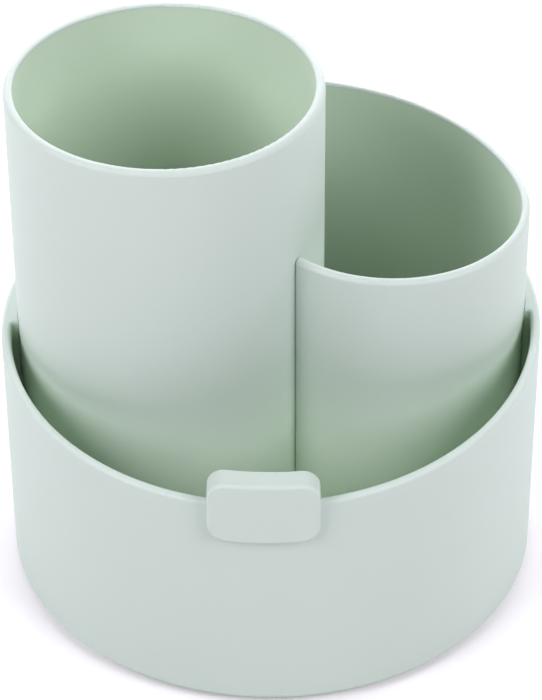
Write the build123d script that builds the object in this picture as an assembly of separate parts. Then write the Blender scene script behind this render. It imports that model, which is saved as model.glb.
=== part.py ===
from build123d import *
import os
from math import acos, atan2, cos, degrees, hypot, radians, sin, sqrt, tan

# Rotating pen holder, millimetres.
# Z is the axis it spins on, Z = 0 is the desk, and the thumb tab is at the front, at -Y.
# Azimuths are degrees about Z, counted from +X towards +Y.

# Drum: the low round cup that everything stands in
drum_diameter = 130.0
drum_wall = 2.2
drum_floor = 3.0
drum_edge_radius = 1.6
ground_clearance = 1.6
rim_height = 66.8
rim_slope = 4.54
rim_slope_azimuth = 79.1
rim_rounding = 0.8
pocket_left_width = 1.65
pocket_right_width = 1.45
pocket_corner = 0.9
pocket_overlap = 3.0
pocket_overlap_corner = 2.0

# Tall cup
tall_cup_diameter = 74.4
tall_cup_wall = 2.2
tall_drum_gap = 0.8
tall_cup_azimuth = 168.0
tall_cup_top = 130.2

# Side cup: a small front arc that runs into a back wall concentric with the drum
side_cup_wall = 2.0
side_cup_top = 95.8
side_arc_offset = 29.5
side_arc_azimuth = 13.9
side_end_width = 3.6

# Both cups
cup_floor = 2.0
cup_gap = 0.2
cup_drum_fit = 0.1
cup_foot_rounding = 1.0
cup_floor_rounding = 1.5
lip_outer_rounding = 1.2
lip_inner_rounding = 0.5
lip_land = 0.1

# Thumb tab that straddles the front of the rim
tab_width = 25.7
tab_center_x = -1.85
tab_rise = 7.3
tab_hang = 9.6
tab_cheek = 2.0
tab_corner = 4.4
tab_rounding = 0.9
tab_fit = 0.1

# Foot plate and its pad
foot_drum_gap = 2.8
foot_thickness = 2.6
foot_edge_rounding = 0.8
pad_border = 6.0
pad_thickness = 1.2
pad_recess = 0.4
pad_fit = 0.3
hub_diameter = 22.0

# Ball bearing
ball_diameter = 4.0
ball_count = 16
bearing_inset = 24.8
ball_clearance = 0.15
race_width = 9.0
race_thickness = 1.5
race_seat = 0.6
race_fit = 0.1
race_gap = 2.3
cage_width = 7.0
cage_thickness = 1.2

# Rotor plate
plate_thickness = 2.5
plate_margin = 4.5
locating_rib = 1.5
locating_rib_height = 1.2
locating_fit = 0.3
insert_boss_wall = 3.0
boss_step = 0.3

# Pivot
pivot_diameter = 6.0
pivot_fit = 0.05
sleeve_wall = 1.4
flange_diameter = 15.0
flange_thickness = 0.6
flange_play = 0.25
bolt_head_diameter = 11.0
bolt_head_height = 1.8
bolt_head_fit = 0.5
washer_thickness = 0.6
insert_wall = 1.2
insert_height = 4.4

# Screws
screw_diameter = 3.0
screw_hole_fit = 0.2
screw_pilot_fit = 0.05
screw_boss_wall = 2.1
pan_head_diameter = 5.6
pan_head_height = 1.8
flat_head_diameter = 6.0
head_rounding = 0.6
drive_slot_width = 0.8
drive_slot_length = 3.0
drive_slot_depth = 0.9
plate_screw_inset = 7.5
plate_screw_azimuths = (90.0, 210.0, 330.0)
plate_screw_length = 7.6
cup_screw_gap = 0.4
tall_screw_angle = 15.0
right_screw_azimuth = 15.0
rear_screw_azimuth = 65.0
end_screw_gap = 3.0
cup_screw_bite = 4.5
cup_boss_height = 6.0

# Heights above the desk, from the desk upwards
foot_bottom = pad_thickness - pad_recess
foot_top = foot_bottom + foot_thickness
lower_race_bottom = foot_top - race_seat
lower_race_top = lower_race_bottom + race_thickness
ball_center = lower_race_top + race_gap / 2
upper_race_bottom = lower_race_top + race_gap
upper_race_top = upper_race_bottom + race_thickness
plate_bottom = upper_race_top - race_seat
plate_top = plate_bottom + plate_thickness
drum_floor_top = plate_top + drum_floor
cup_floor_top = drum_floor_top + cup_floor
hub_top = plate_bottom - flange_play - flange_thickness
bolt_head_top = pad_thickness + bolt_head_height
bolt_seat = bolt_head_top + washer_thickness
insert_top = drum_floor_top - boss_step
insert_bottom = insert_top - insert_height

# Radii from the spin axis, and the two cups' circles
drum_radius = drum_diameter / 2
cavity_radius = drum_radius - drum_wall
back_wall_radius = cavity_radius - cup_drum_fit
tall_radius = tall_cup_diameter / 2
tall_cup_offset = cavity_radius - tall_drum_gap - tall_radius
side_arc_radius = back_wall_radius - side_arc_offset
foot_radius = cavity_radius - foot_drum_gap
pad_radius = foot_radius - pad_border
ball_pitch_radius = cavity_radius - bearing_inset
race_outer = ball_pitch_radius + race_width / 2
race_inner = ball_pitch_radius - race_width / 2
plate_radius = race_outer + plate_margin
rib_inner = plate_radius + locating_fit
rib_outer = rib_inner + locating_rib
plate_screw_radius = race_inner - plate_screw_inset
cup_screw_radius = rib_outer + cup_screw_gap + pan_head_diameter / 2
groove_radius = ball_diameter / 2 + ball_clearance
sleeve_radius = pivot_diameter / 2 + pivot_fit + sleeve_wall
insert_radius = pivot_diameter / 2 + insert_wall
insert_boss_radius = insert_radius + insert_boss_wall
screw_boss_radius = screw_diameter / 2 + screw_boss_wall


def polar(radius, azimuth):
    """Plan position at a radius and an azimuth from the spin axis."""
    return radius * cos(radians(azimuth)), radius * sin(radians(azimuth))


def angle_off_center(offset, circle_radius, radius):
    """Angle at the spin axis from the centre of a circle, at an offset, to the circle's point at a radius."""
    return degrees(acos((radius ** 2 + offset ** 2 - circle_radius ** 2) / (2 * radius * offset)))


tall_center = polar(tall_cup_offset, tall_cup_azimuth)
side_center = polar(side_arc_offset, side_arc_azimuth)
end_angle = angle_off_center(tall_cup_offset, tall_radius + cup_gap, back_wall_radius - side_end_width)
back_wall_end_azimuth = tall_cup_azimuth - end_angle
end_screw_circle = tall_radius + end_screw_gap + screw_boss_radius
end_screw_angle = angle_off_center(tall_cup_offset, end_screw_circle, cup_screw_radius)
tall_screw_azimuths = (tall_cup_azimuth - tall_screw_angle, tall_cup_azimuth + tall_screw_angle)
side_screw_azimuths = (right_screw_azimuth, rear_screw_azimuth, tall_cup_azimuth - end_screw_angle)
tall_hollow_radius = tall_radius + cup_drum_fit
side_hollow_radius = side_arc_radius + cup_drum_fit
left_angle = angle_off_center(tall_cup_offset, tall_hollow_radius, cavity_radius - pocket_left_width)
right_angle = angle_off_center(side_arc_offset, side_hollow_radius, cavity_radius - pocket_right_width)
pocket_left_azimuth = tall_cup_azimuth + left_angle
pocket_right_azimuth = side_arc_azimuth - right_angle


def column(radius, bottom, top, at=(0.0, 0.0)):
    """Upright cylinder between two heights."""
    lowest = (Align.CENTER, Align.CENTER, Align.MIN)
    return Pos(at[0], at[1], bottom) * Cylinder(radius, top - bottom, align=lowest)


def ring(outer, inner, bottom, top):
    """Upright tube between two heights."""
    return column(outer, bottom, top) - column(inner, bottom, top)


def prism(face, bottom, top):
    """Plan face, raised between two heights."""
    return Pos(0, 0, bottom) * extrude(face, amount=top - bottom)


def bearing_angle(center, point):
    """Direction in degrees from a circle's centre to a point."""
    return degrees(atan2(point[1] - center[1], point[0] - center[0]))


def arc_between(center, radius, start, end, turn):
    """Arc from one point of a circle to another, turn +1 counter-clockwise or -1 clockwise."""
    first = bearing_angle(center, start)
    size = (turn * (bearing_angle(center, end) - first)) % 360
    return CenterArc(center, radius, first, turn * size)


def front_crossing(center_a, radius_a, center_b, radius_b):
    """The crossing of two circles that lies towards the front, at -Y."""
    span = hypot(center_b[0] - center_a[0], center_b[1] - center_a[1])
    along = (radius_a ** 2 - radius_b ** 2 + span ** 2) / (2 * span)
    aside = sqrt(radius_a ** 2 - along ** 2)
    ux, uy = (center_b[0] - center_a[0]) / span, (center_b[1] - center_a[1]) / span
    return center_a[0] + along * ux + aside * uy, center_a[1] + along * uy - aside * ux


def on_circle(center, radius, azimuth):
    """Where the ray from the spin axis at an azimuth leaves a circle."""
    ux, uy = cos(radians(azimuth)), sin(radians(azimuth))
    along = center[0] * ux + center[1] * uy
    aside = center[0] * uy - center[1] * ux
    reach = along + sqrt(radius ** 2 - aside ** 2)
    return reach * ux, reach * uy


def top_edges(shape):
    """Edges of a shape's highest level face."""
    return shape.faces().filter_by(Axis.Z).sort_by(Axis.Z)[-1].edges()


def nearest_corner(face, spot):
    """The corner of a plan face that lies nearest to a plan position."""
    return face.vertices().sort_by_distance((*spot, 0))[0]


def side_cup_plan(inset, tall_circle, end_azimuth):
    """Plan face of the side cup, drawn in by an inset and closed along a circle round the tall cup."""
    front_radius = side_arc_radius - inset
    back_radius = back_wall_radius - inset
    seam = front_crossing(tall_center, tall_circle, side_center, front_radius)
    turn_point = polar(back_radius, side_arc_azimuth)
    back_end = polar(back_radius, end_azimuth)
    tall_end = on_circle(tall_center, tall_circle, end_azimuth)
    return make_face(Curve() + [
        arc_between(side_center, front_radius, seam, turn_point, 1),
        arc_between((0, 0), back_radius, turn_point, back_end, 1),
        Line(back_end, tall_end),
        arc_between(tall_center, tall_circle, tall_end, seam, -1),
    ])


def pocket_plan():
    """Plan face of the front pocket, which runs on a little behind the fronts of the cups."""
    pocket_left = polar(cavity_radius, pocket_left_azimuth)
    pocket_right = polar(cavity_radius, pocket_right_azimuth)
    behind_left = polar(cavity_radius - pocket_left_width - pocket_overlap, pocket_left_azimuth)
    behind_right = polar(cavity_radius - pocket_right_width - pocket_overlap, pocket_right_azimuth)
    plan = make_face(Curve() + [
        arc_between((0, 0), cavity_radius, pocket_left, pocket_right, 1),
        Line(pocket_right, behind_right),
        Line(behind_right, behind_left),
        Line(behind_left, pocket_left),
    ])
    plan = fillet([nearest_corner(plan, spot) for spot in (behind_left, behind_right)], pocket_overlap_corner)
    corners = [nearest_corner(plan, spot) for spot in (pocket_left, pocket_right)]
    return fillet(corners, pocket_corner)


def cups_hollow():
    """Plan face of the drum's hollow round both cups, a snug fit that leaves no room beside them."""
    slot_end = back_wall_end_azimuth + degrees(cup_drum_fit / cavity_radius)
    seam = front_crossing(tall_center, tall_hollow_radius, side_center, side_hollow_radius)
    turn_point = polar(cavity_radius, side_arc_azimuth)
    slot_outer = polar(cavity_radius, slot_end)
    slot_inner = on_circle(tall_center, tall_hollow_radius, slot_end)
    hollow = make_face(Curve() + [
        arc_between(side_center, side_hollow_radius, seam, turn_point, 1),
        arc_between((0, 0), cavity_radius, turn_point, slot_outer, 1),
        Line(slot_outer, slot_inner),
        arc_between(tall_center, tall_hollow_radius, slot_inner, seam, 1),
    ])
    return fillet(nearest_corner(hollow, slot_outer), pocket_corner)


def rim_height_at(x, y):
    """Height of the sloping plane of the drum's rim over a plan position."""
    along = x * cos(radians(rim_slope_azimuth)) + y * sin(radians(rim_slope_azimuth))
    return rim_height + along * tan(radians(rim_slope))


def above_rim(lift=0.0):
    """Block that fills everything above the plane of the drum's rim, lifted by a clearance."""
    size = 2 * drum_diameter
    tilt = Pos(0, 0, rim_height + lift) * Rot(0, 0, rim_slope_azimuth - 90) * Rot(rim_slope, 0, 0)
    return tilt * Box(size, size, size, align=(Align.CENTER, Align.CENTER, Align.MIN))


def cross_slot(height, upward):
    """Cross recess that starts at a height and is cut into a head that faces up or down."""
    side = Align.MAX if upward else Align.MIN
    size = (drive_slot_length, drive_slot_width, drive_slot_depth)
    bar = Box(*size, align=(Align.CENTER, Align.CENTER, side))
    return Pos(0, 0, height) * (bar + Rot(0, 0, 90) * bar)


def at_azimuths(shape, radius, azimuths):
    """Copies of a shape, made at the axis, at several azimuths of one radius."""
    return [Pos(*polar(radius, azimuth), 0) * Rot(0, 0, azimuth) * shape for azimuth in azimuths]


def outer_cup():
    """Drum with its floor, the skirt below it, the sloping rim, the front pocket and the cups' hollow."""
    blank_top = rim_height + drum_diameter * tan(radians(rim_slope))
    body = column(drum_radius, ground_clearance, blank_top)
    body = fillet(body.faces().sort_by(Axis.Z)[0].edges(), drum_edge_radius)
    body -= column(cavity_radius, ground_clearance, plate_top)
    body -= prism(pocket_plan(), drum_floor_top, blank_top)
    body -= above_rim()
    rim = body.faces().filter_by(GeomType.PLANE).sort_by(Axis.Z)[-1]
    body = fillet(rim.edges(), rim_rounding)
    body -= prism(cups_hollow(), drum_floor_top, blank_top)
    body += ring(rib_outer, rib_inner, plate_top - locating_rib_height, plate_top)
    body -= column(insert_boss_radius + locating_fit, plate_top, drum_floor_top)
    head_radius = flat_head_diameter / 2 + screw_hole_fit
    hole_radius = screw_diameter / 2 + screw_hole_fit
    sink = Pos(0, 0, drum_floor_top) * Cone(
        hole_radius, head_radius, head_radius - hole_radius, align=(Align.CENTER, Align.CENTER, Align.MAX))
    plate_hole = column(hole_radius, plate_top, drum_floor_top) + sink
    body -= at_azimuths(plate_hole, plate_screw_radius, plate_screw_azimuths)
    cup_hole = column(hole_radius, plate_top, drum_floor_top)
    body -= at_azimuths(cup_hole, cup_screw_radius, tall_screw_azimuths + side_screw_azimuths)
    return body


def screw_bosses(azimuths):
    """Bosses on a cup's floor that take the screws from below."""
    boss = column(screw_boss_radius, cup_floor_top, cup_floor_top + cup_boss_height)
    return at_azimuths(boss, cup_screw_radius, azimuths)


def screw_pilots(azimuths):
    """Blind holes for the cup screws, through a cup's floor and into its bosses."""
    tip = cup_floor_top + cup_screw_bite + screw_pilot_fit
    pilot = column(screw_diameter / 2 + screw_pilot_fit, drum_floor_top, tip)
    return at_azimuths(pilot, cup_screw_radius, azimuths)


def tall_cup():
    """Full round cup at the left."""
    cup = column(tall_radius, drum_floor_top, tall_cup_top, tall_center)
    cup = fillet(cup.edges().sort_by(Axis.Z)[0], cup_foot_rounding)
    cup = fillet(cup.edges().sort_by(Axis.Z)[-1], lip_outer_rounding)
    hollow = column(tall_radius - tall_cup_wall, cup_floor_top, tall_cup_top, tall_center)
    cup -= fillet(hollow.edges().sort_by(Axis.Z)[0], cup_floor_rounding)
    mouth = cup.edges().filter_by(GeomType.CIRCLE).filter_by_position(Axis.Z, tall_cup_top, tall_cup_top)
    cup = fillet(mouth.sort_by(SortBy.RADIUS)[0], lip_inner_rounding)
    cup += screw_bosses(tall_screw_azimuths)
    return cup - screw_pilots(tall_screw_azimuths)


def side_cup():
    """Lower cup at the right, open towards the tall cup, whose wall closes it and meets its square ends."""
    outer_plan = side_cup_plan(0, tall_radius + cup_gap, back_wall_end_azimuth)
    closed_end = back_wall_end_azimuth - degrees(side_cup_wall / back_wall_radius)
    inner_plan = side_cup_plan(side_cup_wall, tall_radius, closed_end)
    corner = nearest_corner(outer_plan, polar(back_wall_radius, back_wall_end_azimuth))
    cup = prism(fillet(corner, cup_foot_rounding), drum_floor_top, side_cup_top)
    beside_tall = Vertex(*tall_center, side_cup_top)
    reach = tall_radius + cup_gap + lip_land
    outer_lip = [edge for edge in top_edges(cup) if beside_tall.distance_to(Vertex(edge @ 0.5)) > reach]
    cup = fillet(outer_lip, min(lip_outer_rounding, side_cup_wall - lip_inner_rounding - lip_land))
    cup -= prism(inner_plan, cup_floor_top, side_cup_top)
    mouth = (Pos(0, 0, side_cup_top) * inner_plan).wire()
    inner_lip = [edge for edge in top_edges(cup) if mouth.distance_to(Vertex(edge @ 0.5)) < lip_land]
    cup = fillet(inner_lip, lip_inner_rounding)
    cup += screw_bosses(side_screw_azimuths)
    return cup - screw_pilots(side_screw_azimuths)


def rim_tab():
    """Saddle that is pressed over the front of the rim, with a cheek inside and one outside."""
    inner = cavity_radius - tab_cheek
    outer = drum_radius + tab_cheek
    rim_front = rim_height_at(tab_center_x, -drum_radius)
    height = tab_rise + tab_hang
    center = rim_front + (tab_rise - tab_hang) / 2
    face = Plane.XZ * RectangleRounded(tab_width, height, tab_corner)
    block = Pos(tab_center_x, 0, center) * extrude(face, amount=drum_diameter)
    saddle = ring(outer, inner, center - height, center + height) & block
    saddle = fillet(saddle.edges(), tab_rounding)
    wall = ring(drum_radius + tab_fit, cavity_radius - tab_fit, center - height, center + height)
    return saddle - (wall - above_rim(tab_fit))


def turntable_plate():
    """Rotor plate: it carries the upper race, the brass insert and the screws' bosses."""
    plate = column(plate_radius, plate_bottom, plate_top)
    plate = fillet(plate.edges().sort_by(Axis.Z)[0], foot_edge_rounding)
    plate += column(insert_boss_radius, plate_bottom, insert_top)
    tip = drum_floor_top - plate_screw_length
    boss = column(screw_boss_radius, tip, plate_bottom)
    plate += at_azimuths(boss, plate_screw_radius, plate_screw_azimuths)
    plate -= ring(race_outer + race_fit, race_inner - race_fit, plate_bottom, upper_race_top)
    plate -= column(insert_radius, insert_bottom, insert_top)
    plate -= column(pivot_diameter / 2 + screw_hole_fit, plate_bottom, insert_bottom)
    pilot = column(screw_diameter / 2 + screw_pilot_fit, tip, plate_top)
    return plate - at_azimuths(pilot, plate_screw_radius, plate_screw_azimuths)


def race(bottom):
    """Steel ring with a round groove that faces the balls."""
    groove = Pos(0, 0, ball_center) * Torus(ball_pitch_radius, groove_radius)
    return ring(race_outer, race_inner, bottom, bottom + race_thickness) - groove


def ball_spots(shape):
    """Copies of a shape at every ball's place."""
    step = 360 / ball_count
    return at_azimuths(shape, ball_pitch_radius, [step * number for number in range(ball_count)])


def ball_cage():
    """Flat ring that spaces the balls."""
    bottom = ball_center - cage_thickness / 2
    outer = ball_pitch_radius + cage_width / 2
    cage = ring(outer, outer - cage_width, bottom, bottom + cage_thickness)
    return cage - ball_spots(column(groove_radius, bottom, bottom + cage_thickness))


def bearing_balls():
    """All balls, as separate solids."""
    return Compound(ball_spots(Pos(0, 0, ball_center) * Sphere(ball_diameter / 2)))


def foot_plate():
    """Round plate that stays on the desk, with the lower race's seat and the pivot's hub."""
    plate = column(foot_radius, foot_bottom, foot_top)
    plate = fillet(plate.edges().sort_by(Axis.Z)[-1], foot_edge_rounding)
    plate += column(hub_diameter / 2, foot_bottom, hub_top)
    plate -= column(pad_radius + pad_fit, foot_bottom, pad_thickness)
    plate -= column(bolt_head_diameter / 2 + bolt_head_fit, foot_bottom, bolt_seat)
    plate -= column(sleeve_radius, bolt_seat, hub_top)
    return plate - ring(race_outer + race_fit, race_inner - race_fit, lower_race_bottom, foot_top)


def non_slip_pad():
    """Soft sheet bonded into the recess under the foot plate."""
    return column(pad_radius, 0, pad_thickness)


def pivot_sleeve():
    """Flanged bush in the foot plate's hub."""
    bush = column(sleeve_radius, bolt_seat, hub_top)
    bush += column(flange_diameter / 2, hub_top, hub_top + flange_thickness)
    return bush - column(pivot_diameter / 2 + pivot_fit, bolt_seat, hub_top + flange_thickness)


def pivot_bolt():
    """Screw on the axis, head below, threaded into the brass insert."""
    bolt = column(bolt_head_diameter / 2, pad_thickness, bolt_head_top)
    bolt = fillet(bolt.edges().sort_by(Axis.Z)[0], head_rounding)
    bolt += column(pivot_diameter / 2, bolt_head_top, insert_top - boss_step)
    return bolt - cross_slot(pad_thickness, False)


def pivot_washer():
    """Steel washer between the bolt's head and the hub."""
    return ring(bolt_head_diameter / 2, pivot_diameter / 2 + pivot_fit, bolt_head_top, bolt_seat)


def threaded_insert():
    """Brass insert pressed into the rotor plate's boss."""
    return ring(insert_radius, pivot_diameter / 2 + pivot_fit, insert_bottom, insert_top)


def plate_screws():
    """Countersunk screws, drum floor to rotor plate."""
    shank_radius = screw_diameter / 2
    head_radius = flat_head_diameter / 2
    highest = (Align.CENTER, Align.CENTER, Align.MAX)
    sink = head_radius - shank_radius
    head = Pos(0, 0, drum_floor_top) * Cone(shank_radius, head_radius, sink, align=highest)
    tip = drum_floor_top - plate_screw_length
    screw = head + column(shank_radius, tip, drum_floor_top)
    screw -= cross_slot(drum_floor_top, True)
    return Compound(at_azimuths(screw, plate_screw_radius, plate_screw_azimuths))


def cup_screws():
    """Pan-head screws from below, drum floor to the two cups."""
    head_bottom = plate_top - pan_head_height
    screw = column(pan_head_diameter / 2, head_bottom, plate_top)
    screw = fillet(screw.edges().sort_by(Axis.Z)[0], head_rounding)
    screw += column(screw_diameter / 2, plate_top, cup_floor_top + cup_screw_bite)
    screw -= cross_slot(head_bottom, False)
    return Compound(at_azimuths(screw, cup_screw_radius, tall_screw_azimuths + side_screw_azimuths))


pieces = {
    "outer_cup": outer_cup(),
    "tall_cup": tall_cup(),
    "side_cup": side_cup(),
    "rim_tab": rim_tab(),
    "turntable_plate": turntable_plate(),
    "upper_race": race(upper_race_bottom),
    "lower_race": race(lower_race_bottom),
    "ball_cage": ball_cage(),
    "bearing_balls": bearing_balls(),
    "foot_plate": foot_plate(),
    "non_slip_pad": non_slip_pad(),
    "pivot_sleeve": pivot_sleeve(),
    "pivot_bolt": pivot_bolt(),
    "pivot_washer": pivot_washer(),
    "threaded_insert": threaded_insert(),
    "plate_screws": plate_screws(),
    "cup_screws": cup_screws(),
}

os.makedirs("parts", exist_ok=True)
for name, shape in pieces.items():
    export_step(shape, f"parts/{name}.step")
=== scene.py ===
"""Rotating pen holder in satin sage plastic: a round drum on a hidden ball-bearing foot, with a tall cup,
a lower side cup and a thumb tab on its rim. Metres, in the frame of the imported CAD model."""
import math

import bpy
from mathutils import Matrix, Vector


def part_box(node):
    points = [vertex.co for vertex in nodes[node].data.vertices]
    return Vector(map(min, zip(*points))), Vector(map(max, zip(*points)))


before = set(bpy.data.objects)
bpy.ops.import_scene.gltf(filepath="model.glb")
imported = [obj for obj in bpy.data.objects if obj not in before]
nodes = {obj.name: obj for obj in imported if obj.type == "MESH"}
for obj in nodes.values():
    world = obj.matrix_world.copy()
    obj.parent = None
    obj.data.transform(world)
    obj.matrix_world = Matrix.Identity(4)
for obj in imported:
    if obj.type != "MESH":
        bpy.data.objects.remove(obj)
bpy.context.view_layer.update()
scene = bpy.context.scene

# Camera. The photograph is taken from the front, 37.4 degrees down, a third of a degree off level.
# Its place, lens and tilt were fitted to the rims' ellipses and to the drum's sides.
camera_pitch = math.radians(37.416)
camera_roll = math.radians(-0.32)
camera_distance = 0.73145
camera_target = (0.00002, 0.0, 0.05662)
camera_data = bpy.data.cameras.new("camera")
camera_data.sensor_width = 36.0
camera_data.lens = 154.3
camera_data.clip_start = 0.05
camera_data.clip_end = 20.0
camera = bpy.data.objects.new("camera", camera_data)
camera.location = (camera_target[0],
                   camera_target[1] - camera_distance * math.cos(camera_pitch),
                   camera_target[2] + camera_distance * math.sin(camera_pitch))
camera_tilt = Matrix.Rotation(math.radians(90.0) - camera_pitch, 3, "X")
camera.rotation_euler = (camera_tilt @ Matrix.Rotation(camera_roll, 3, "Z")).to_euler()
scene.collection.objects.link(camera)
scene.camera = camera


# Drum. One injection moulding in satin sage plastic, open at the top, with a rim that slopes to the front.
# The mould was spark eroded, which leaves a fine even grain. Hands polish the rim's rounded edge a little.
# Inside the hollow and down in the pocket a greener tone is painted in: painted green bounce light between the
# walls.
def new_material(name):
    """An empty node material: the material, its node tree, its shader and the object's own coordinates."""
    material = bpy.data.materials.new(name)
    material.use_nodes = True
    tree = material.node_tree
    coordinates = tree.nodes.new("ShaderNodeTexCoord").outputs["Object"]
    return material, tree, tree.nodes["Principled BSDF"], coordinates


def dress(node, material):
    """Gives a CAD node one material."""
    mesh = nodes[node].data
    mesh.materials.clear()
    mesh.materials.append(material)


def clouds(tree, coordinates, size, detail=2.0, contrast=0.5):
    """Fractal noise from 0 to 1 whose largest patches are about the given size in metres."""
    noise = tree.nodes.new("ShaderNodeTexNoise")
    noise.inputs["Scale"].default_value = 1.0 / size
    noise.inputs["Detail"].default_value = detail
    noise.inputs["Roughness"].default_value = contrast
    tree.links.new(coordinates, noise.inputs["Vector"])
    return noise.outputs["Fac"]


def spread(tree, value, from_low, from_high, to_low, to_high):
    """Straight line through (from_low, to_low) and (from_high, to_high), held level outside them."""
    ramp = tree.nodes.new("ShaderNodeMapRange")
    ramp.inputs["From Min"].default_value = from_low
    ramp.inputs["From Max"].default_value = from_high
    ramp.inputs["To Min"].default_value = to_low
    ramp.inputs["To Max"].default_value = to_high
    tree.links.new(value, ramp.inputs["Value"])
    return ramp.outputs["Result"]


def joined(tree, operation, first, second):
    """Two values put together by a Math node: ADD, MULTIPLY or MAXIMUM."""
    both = tree.nodes.new("ShaderNodeMath")
    both.operation = operation
    tree.links.new(first, both.inputs[0])
    tree.links.new(second, both.inputs[1])
    return both.outputs["Value"]


def blend(tree, factor, first, second):
    """Colour that runs from the first to the second as the factor goes from 0 to 1.

    Each of the two is a plain colour or another node's output."""
    mix = tree.nodes.new("ShaderNodeMix")
    mix.data_type = "RGBA"
    for label, color in (("A", first), ("B", second)):
        if isinstance(color, tuple):
            mix.inputs[label].default_value = (*color, 1.0)
        else:
            tree.links.new(color, mix.inputs[label])
    tree.links.new(factor, mix.inputs["Factor"])
    return mix.outputs["Result"]


def relief(tree, shader, height, depth, strength):
    """Bump of a depth in metres from a height between 0 and 1."""
    bump = tree.nodes.new("ShaderNodeBump")
    bump.inputs["Strength"].default_value = strength
    bump.inputs["Distance"].default_value = depth
    tree.links.new(height, bump.inputs["Height"])
    tree.links.new(bump.outputs["Normal"], shader.inputs["Normal"])


def above_plane(tree, coordinates, normal):
    """Height of each point along a plane's normal: the dot product of its place and the normal."""
    product = tree.nodes.new("ShaderNodeVectorMath")
    product.operation = "DOT_PRODUCT"
    product.inputs[1].default_value = normal
    tree.links.new(coordinates, product.inputs[0])
    return product.outputs["Value"]


def from_axis(tree, coordinates, center=(0.0, 0.0)):
    """Distance from an upright axis through a plan position: the length of the offset, its height set to 0."""
    offset = tree.nodes.new("ShaderNodeVectorMath")
    offset.operation = "SUBTRACT"
    offset.inputs[1].default_value = (*center, 0.0)
    tree.links.new(coordinates, offset.inputs[0])
    flat = tree.nodes.new("ShaderNodeVectorMath")
    flat.operation = "MULTIPLY"
    flat.inputs[1].default_value = (1.0, 1.0, 0.0)
    tree.links.new(offset.outputs["Vector"], flat.inputs[0])
    length = tree.nodes.new("ShaderNodeVectorMath")
    length.operation = "LENGTH"
    tree.links.new(flat.outputs["Vector"], length.inputs[0])
    return length.outputs["Value"]


soft_edge = 0.0002


def inside_round(tree, coordinates, center, radius):
    """1 within a radius of an upright axis and 0 beyond it, with a soft edge on each side of the radius."""
    distance = from_axis(tree, coordinates, center)
    return spread(tree, distance, radius - soft_edge, radius + soft_edge, 1.0, 0.0)


def moulded(name, pale, deep, roughness, grain, lip=None, bounce_mask=None):
    """Moulded plastic: slow tone drift from deep to pale, satin grain, and a lip worn smoother.

    The grain is noise of the given size in metres. The lip is a plane, given by its normal and its height
    along it, and the roughness falls towards it. The last argument is a function that gives 1 inside the piece,
    where a greener tone is painted in from just below the lip's plane down: painted green bounce light
    between the walls. It needs a lip."""
    drift_patch = 0.045
    satin_patch = 0.008
    satin_swing = 0.03
    grain_depth = 0.000015
    worn_from, worn_to, lip_wear = 0.0015, 0.0003, 0.07
    green_from, green_to = 0.0012, 0.0007
    material, tree, shader, coordinates = new_material(name)
    drift = clouds(tree, coordinates, drift_patch, detail=3.0)
    tone = blend(tree, drift, deep, pale)
    satin = spread(tree, clouds(tree, coordinates, satin_patch), 0.25, 0.75,
                   roughness - satin_swing, roughness + satin_swing)
    if lip is not None:
        normal, height = lip
        level = above_plane(tree, coordinates, normal)
        worn = spread(tree, level, height - worn_from, height - worn_to, 0.0, -lip_wear)
        satin = joined(tree, "ADD", satin, worn)
    # Painted green bounce light: inside the piece, below the lip, the tone is blended towards a greener one.
    if bounce_mask is not None:
        below = spread(tree, level, height - green_from, height - green_to, 1.0, 0.0)
        bounce_amount = joined(tree, "MULTIPLY", bounce_mask(tree, coordinates), below)
        tone = blend(tree, bounce_amount, tone, blend(tree, drift, bounce_green_deep, bounce_green_pale))
    tree.links.new(tone, shader.inputs["Base Color"])
    tree.links.new(satin, shader.inputs["Roughness"])
    relief(tree, shader, clouds(tree, coordinates, grain, contrast=0.6), grain_depth, 0.3)
    shader.inputs["IOR"].default_value = 1.49
    shader.inputs["Specular IOR Level"].default_value = 0.4
    return material


sage_pale = (0.568, 0.672, 0.592)
sage_deep = (0.554, 0.655, 0.577)
# Painted green bounce light: the greener tone painted inside the hollows and down in the drum's pocket.
bounce_green_pale = (0.580, 0.718, 0.554)
bounce_green_deep = (0.566, 0.700, 0.541)
sage_roughness = 0.6
sage_grain = 0.00022


def sage_plastic(name, lip, bounce_mask=None, roughness=sage_roughness):
    """The holder's own sage plastic, for a piece with the given lip and the mask of its painted green bounce
    light.
    """
    return moulded(name, sage_pale, sage_deep, roughness, sage_grain, lip, bounce_mask)


drum_wall_middle = 0.0639
rim_height = 0.0668
rim_slope = math.radians(4.54)
rim_azimuth = math.radians(79.1)
rim_normal = (-math.sin(rim_slope) * math.cos(rim_azimuth),
              -math.sin(rim_slope) * math.sin(rim_azimuth),
              math.cos(rim_slope))
rim_plane = (rim_normal, rim_height * math.cos(rim_slope))


# Where the drum's painted green bounce light goes.
def drum_bounce_mask(tree, coordinates):
    """1 inside the middle of the drum's wall."""
    return inside_round(tree, coordinates, (0.0, 0.0), drum_wall_middle)


dress("outer_cup", sage_plastic("drum_sage_plastic", rim_plane, drum_bounce_mask))

# Tall cup. A separate moulding in the same satin plastic, screwed to the drum's floor from below.
# Its lip is turned over a larger radius outside than inside and is worn smooth by pens.
upright = (0.0, 0.0, 1.0)
tall_low, tall_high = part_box("tall_cup")
tall_lip = (upright, tall_high[2])
tall_center = ((tall_low[0] + tall_high[0]) / 2, (tall_low[1] + tall_high[1]) / 2)
tall_wall_middle = 0.0361
# The painted green bounce light also runs down the cups' outsides in the drum's pocket and fades out just above
# the rim's plane.
green_fades_above_rim = 0.01
green_full_below_rim = 0.035


def sunk_in_drum(tree, coordinates):
    """From 0 just above the plane of the drum's rim to 1 deep in its pocket."""
    normal, height = rim_plane
    return spread(tree, above_plane(tree, coordinates, normal),
                  height - green_full_below_rim, height + green_fades_above_rim, 1.0, 0.0)


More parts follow.
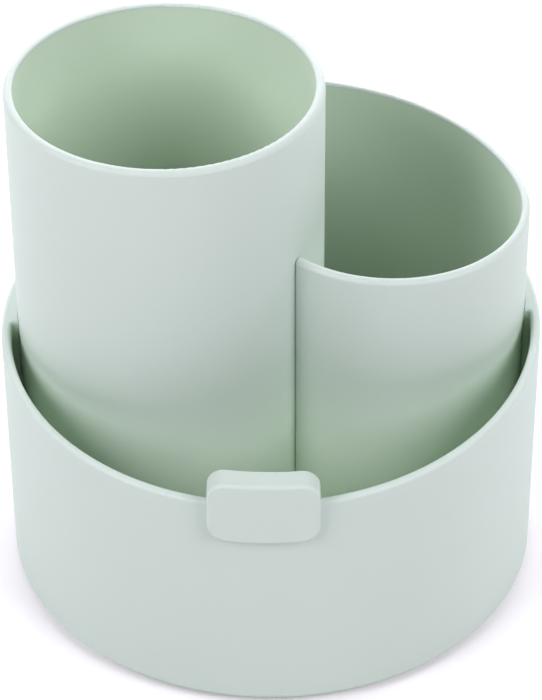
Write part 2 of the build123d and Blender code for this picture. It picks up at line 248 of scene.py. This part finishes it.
# Where the tall cup's painted green bounce light goes.
def tall_bounce_mask(tree, coordinates):
    """1 inside the middle of the tall cup's wall, rising to 1 on its outside deep in the drum's pocket."""
    inside = inside_round(tree, coordinates, tall_center, tall_wall_middle)
    return joined(tree, "MAXIMUM", inside, sunk_in_drum(tree, coordinates))


dress("tall_cup", sage_plastic("tall_cup_sage_plastic", tall_lip, tall_bounce_mask))

# Side cup. The third moulding in sage plastic. It has no wall where it meets the tall cup, which closes it.
# It stands 0.2 mm off the tall cup, and that gap shows as the dark upright line beside it.
side_lip = (upright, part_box("side_cup")[1][2])
side_azimuth = math.radians(13.9)
side_offset = 0.0295
side_center = (side_offset * math.cos(side_azimuth), side_offset * math.sin(side_azimuth))
side_front_middle = 0.0322
side_back_middle = 0.0617


# Where the side cup's painted green bounce light goes.
def side_bounce_mask(tree, coordinates):
    """1 inside the middle of the side cup's wall, rising to 1 on its outside deep in the drum's pocket.

    Inside is within the front arc, or within the drum's circle behind the line where the two meet."""
    past_line = above_plane(tree, coordinates, (-math.sin(side_azimuth), math.cos(side_azimuth), 0.0))
    behind = spread(tree, past_line, -soft_edge, soft_edge, 0.0, 1.0)
    back_circle = inside_round(tree, coordinates, (0.0, 0.0), side_back_middle)
    back_part = joined(tree, "MULTIPLY", back_circle, behind)
    front_part = inside_round(tree, coordinates, side_center, side_front_middle)
    inside = joined(tree, "MAXIMUM", front_part, back_part)
    return joined(tree, "MAXIMUM", inside, sunk_in_drum(tree, coordinates))


dress("side_cup", sage_plastic("side_cup_sage_plastic", side_lip, side_bounce_mask))

# Thumb tab. A small saddle in the same plastic, pressed over the front of the rim, with rounded corners.
# The hand that turns the holder pushes here, so its whole face is a shade smoother than the cups.
tab_lip = (upright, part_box("rim_tab")[1][2])
tab_polish = 0.03
dress("rim_tab", sage_plastic("tab_sage_plastic", tab_lip, roughness=sage_roughness - tab_polish))

# Rotor plate and foot plate. Structural mouldings that nobody sees, in a deeper sage with a coarser grain.
# The rotor plate carries the upper race and the brass insert, the foot plate the lower race and the pad.
foot_plastic = moulded("foot_sage_plastic", pale=(0.36, 0.45, 0.39), deep=(0.33, 0.42, 0.36),
                       roughness=0.52, grain=0.0004)
for node in ("turntable_plate", "foot_plate"):
    dress(node, foot_plastic)

# Pad. A die-cut sheet of dark closed-cell rubber, bonded under the foot plate so the holder doesn't slide.
# Cut cells leave small pits all over its skin.
pad_rubber, pad_tree, pad_shader, pad_coordinates = new_material("pad_foam_rubber")
pad_black = (0.008, 0.009, 0.009)
pad_dusty = (0.018, 0.019, 0.019)
cells_per_metre = 1600.0
pad_cells = pad_tree.nodes.new("ShaderNodeTexVoronoi")
pad_cells.inputs["Scale"].default_value = cells_per_metre
pad_tree.links.new(pad_coordinates, pad_cells.inputs["Vector"])
pad_dust = clouds(pad_tree, pad_coordinates, 0.006, detail=4.0, contrast=0.6)
pad_tree.links.new(blend(pad_tree, pad_dust, pad_black, pad_dusty), pad_shader.inputs["Base Color"])
pad_tree.links.new(spread(pad_tree, pad_dust, 0.3, 0.7, 0.82, 0.94), pad_shader.inputs["Roughness"])
relief(pad_tree, pad_shader, pad_cells.outputs["Distance"], depth=0.00006, strength=0.5)
dress("non_slip_pad", pad_rubber)


# Races. Two rings pressed from zinc-plated steel sheet, each with a rolled groove that the balls run in.
# Rolling and running leave fine rings round the spin axis, and the plating clouds a little.
def rings(tree, coordinates, pitch):
    """Noise that depends only on the distance from the spin axis and the height, so it lies in rings.

    The distance and the height are the first two coordinates of the noise."""
    parts = tree.nodes.new("ShaderNodeSeparateXYZ")
    tree.links.new(coordinates, parts.inputs["Vector"])
    place = tree.nodes.new("ShaderNodeCombineXYZ")
    tree.links.new(from_axis(tree, coordinates), place.inputs["X"])
    tree.links.new(parts.outputs["Z"], place.inputs["Y"])
    return clouds(tree, place.outputs["Vector"], pitch, contrast=0.7)


def turned_metal(name, bright, dull, roughness, pitch, depth):
    """Metal with turning rings: its colour clouds from dull to bright and its gloss follows the rings.

    The rings' pitch and depth are in metres."""
    plating_patch = 0.009
    smoother, rougher = 0.06, 0.08
    material, tree, shader, coordinates = new_material(name)
    shader.inputs["Metallic"].default_value = 1.0
    plating = clouds(tree, coordinates, plating_patch, detail=3.0)
    tree.links.new(blend(tree, plating, dull, bright), shader.inputs["Base Color"])
    lines = rings(tree, coordinates, pitch)
    gloss = spread(tree, lines, 0.3, 0.7, roughness - smoother, roughness + rougher)
    tree.links.new(gloss, shader.inputs["Roughness"])
    relief(tree, shader, lines, depth, strength=0.4)
    return material


race_steel = turned_metal("race_zinc_steel", bright=(0.64, 0.65, 0.66), dull=(0.55, 0.56, 0.57),
                          roughness=0.3, pitch=0.00018, depth=0.000004)
for node in ("upper_race", "lower_race"):
    dress(node, race_steel)

# Ball cage and pivot sleeve. Natural white acetal, which runs dry on steel.
# The cage is a flat moulded ring that spaces the balls, the sleeve a flanged bush pressed into the foot's hub.
acetal = moulded("natural_acetal", pale=(0.85, 0.85, 0.81), deep=(0.80, 0.80, 0.76),
                 roughness=0.36, grain=0.0003)
for node in ("ball_cage", "pivot_sleeve"):
    dress(node, acetal)

# Balls. Sixteen hardened steel balls of 4 mm, ground and lapped to a mirror.
# A thin uneven film of grease keeps them from rusting and dulls them in patches.
ball_steel, ball_tree, ball_shader, ball_coordinates = new_material("lapped_ball_steel")
greasy_steel = (0.70, 0.70, 0.69)
clean_steel = (0.80, 0.81, 0.82)
ball_shader.inputs["Metallic"].default_value = 1.0
ball_film = clouds(ball_tree, ball_coordinates, 0.0015, detail=3.0, contrast=0.6)
ball_tree.links.new(blend(ball_tree, ball_film, greasy_steel, clean_steel), ball_shader.inputs["Base Color"])
ball_tree.links.new(spread(ball_tree, ball_film, 0.3, 0.7, 0.05, 0.13), ball_shader.inputs["Roughness"])
lapping_marks = clouds(ball_tree, ball_coordinates, 0.00012)
relief(ball_tree, ball_shader, lapping_marks, depth=0.000001, strength=0.2)
dress("bearing_balls", ball_steel)

# Pivot bolt and washer. Bright zinc-plated steel, turned, on the spin axis with the head sunk in the foot.
# Facing leaves fine rings on the head round its cross recess. The pad covers it.
pivot_steel = turned_metal("pivot_zinc_steel", bright=(0.62, 0.63, 0.65), dull=(0.52, 0.53, 0.55),
                           roughness=0.27, pitch=0.00022, depth=0.000006)
for node in ("pivot_bolt", "pivot_washer"):
    dress(node, pivot_steel)

# Threaded insert. Free-cutting brass, turned and pressed warm into the rotor plate's boss.
# The pivot bolt screws into it, and it keeps the bright rings of the lathe.
brass = turned_metal("turned_brass", bright=(0.80, 0.60, 0.30), dull=(0.66, 0.47, 0.21),
                     roughness=0.24, pitch=0.0003, depth=0.000008)
dress("threaded_insert", brass)

# Screws. Rolled and zinc-plated in bulk, so they carry small tumbling marks and a straw tint in patches.
# Three countersunk ones hold the rotor plate and five pan heads hold the cups, all from hidden sides.
screw_steel, screw_tree, screw_shader, screw_coordinates = new_material("barrel_plated_steel")
straw_zinc = (0.60, 0.58, 0.52)
blue_zinc = (0.60, 0.62, 0.65)
screw_shader.inputs["Metallic"].default_value = 1.0
screw_tint = clouds(screw_tree, screw_coordinates, 0.0025, detail=3.0, contrast=0.6)
screw_tree.links.new(blend(screw_tree, screw_tint, straw_zinc, blue_zinc), screw_shader.inputs["Base Color"])
screw_marks = clouds(screw_tree, screw_coordinates, 0.0003, detail=4.0, contrast=0.7)
screw_tree.links.new(spread(screw_tree, screw_marks, 0.3, 0.7, 0.24, 0.42), screw_shader.inputs["Roughness"])
relief(screw_tree, screw_shader, screw_marks, depth=0.00001, strength=0.35)
for node in ("plate_screws", "cup_screws"):
    dress(node, screw_steel)

# Floor. A sheet of white paper, a hair below the pad so that the two faces don't fight.
# The camera sees it white, and near the holder it keeps a faint shadow.
floor_half = 3.0
floor_height = -0.0001
floor_mesh = bpy.data.meshes.new("floor")
floor_corners = [(-floor_half, -floor_half, floor_height), (floor_half, -floor_half, floor_height),
                 (floor_half, floor_half, floor_height), (-floor_half, floor_half, floor_height)]
floor_mesh.from_pydata(floor_corners, [], [(0, 1, 2, 3)])
floor = bpy.data.objects.new("floor", floor_mesh)
scene.collection.objects.link(floor)
floor_material, floor_tree, floor_shader, floor_coordinates = new_material("floor_paper")
floor_shader.inputs["Base Color"].default_value = (0.78, 0.78, 0.78, 1.0)
floor_shader.inputs["Roughness"].default_value = 0.9
floor_shader.inputs["Specular IOR Level"].default_value = 0.0
floor_shader.inputs["Emission Color"].default_value = (1.0, 1.0, 1.0, 1.0)


def seen_directly(tree):
    """1 for rays from the camera, mirrors or glass, and 0 for the rays that light other surfaces."""
    path = tree.nodes.new("ShaderNodeLightPath").outputs
    seen = joined(tree, "MAXIMUM", path["Is Camera Ray"], path["Is Glossy Ray"])
    return joined(tree, "MAXIMUM", seen, path["Is Transmission Ray"])


shadow_radius, white_radius = 0.09, 0.3
shadow_glow, white_glow = 0.2, 1.0
floor_distance = from_axis(floor_tree, floor_coordinates)
floor_glow = spread(floor_tree, floor_distance, shadow_radius, white_radius, shadow_glow, white_glow)
floor_tree.links.new(joined(floor_tree, "MULTIPLY", seen_directly(floor_tree), floor_glow),
                     floor_shader.inputs["Emission Strength"])
floor_mesh.materials.append(floor_material)

# Light. Two soft boxes stand at the front sides and one long low panel behind, and three small ones fill in.
# All are turned towards the middle of the holder and have the same faintly cool white.
day_white = (1.01, 0.96, 1.06)
lamp_distance = 1.3
lamp_target = Vector((0.0, 0.0, 0.06))


def soft_box(name, azimuth, elevation, width, height, power):
    """Rectangular lamp at an azimuth and an elevation in degrees. Its size is in metres, its power in watts."""
    turn, rise = math.radians(azimuth), math.radians(elevation)
    toward = Vector((math.cos(rise) * math.cos(turn), math.cos(rise) * math.sin(turn), math.sin(rise)))
    data = bpy.data.lights.new(name, "AREA")
    data.shape = "RECTANGLE"
    data.size = width
    data.size_y = height
    data.energy = power
    data.color = day_white
    lamp = bpy.data.objects.new(name, data)
    lamp.location = lamp_target + lamp_distance * toward
    lamp.rotation_euler = toward.to_track_quat("Z", "Y").to_euler()
    scene.collection.objects.link(lamp)


soft_box("front_left_box", azimuth=218, elevation=34, width=0.6, height=0.8, power=9.6)
soft_box("front_right_box", azimuth=322, elevation=34, width=0.6, height=0.8, power=10.3)
soft_box("back_panel", azimuth=92, elevation=22, width=2.0, height=0.45, power=19.5)
soft_box("rear_right_box", azimuth=25, elevation=35, width=0.45, height=0.45, power=3.4)
soft_box("left_box", azimuth=180, elevation=38, width=0.45, height=0.45, power=3.4)
soft_box("overhead_box", azimuth=0, elevation=90, width=0.8, height=0.8, power=3.0)

# Room. A white studio, seen directly and in polished metal. It adds no light of its own to the holder,
# so that the lamps alone shape it.
world = bpy.data.worlds.new("studio")
world.use_nodes = True
background = world.node_tree.nodes["Background"]
background.inputs["Color"].default_value = (1.0, 1.0, 1.0, 1.0)
world.node_tree.links.new(seen_directly(world.node_tree), background.inputs["Strength"])
scene.world = world
scene.view_settings.view_transform = "Standard"
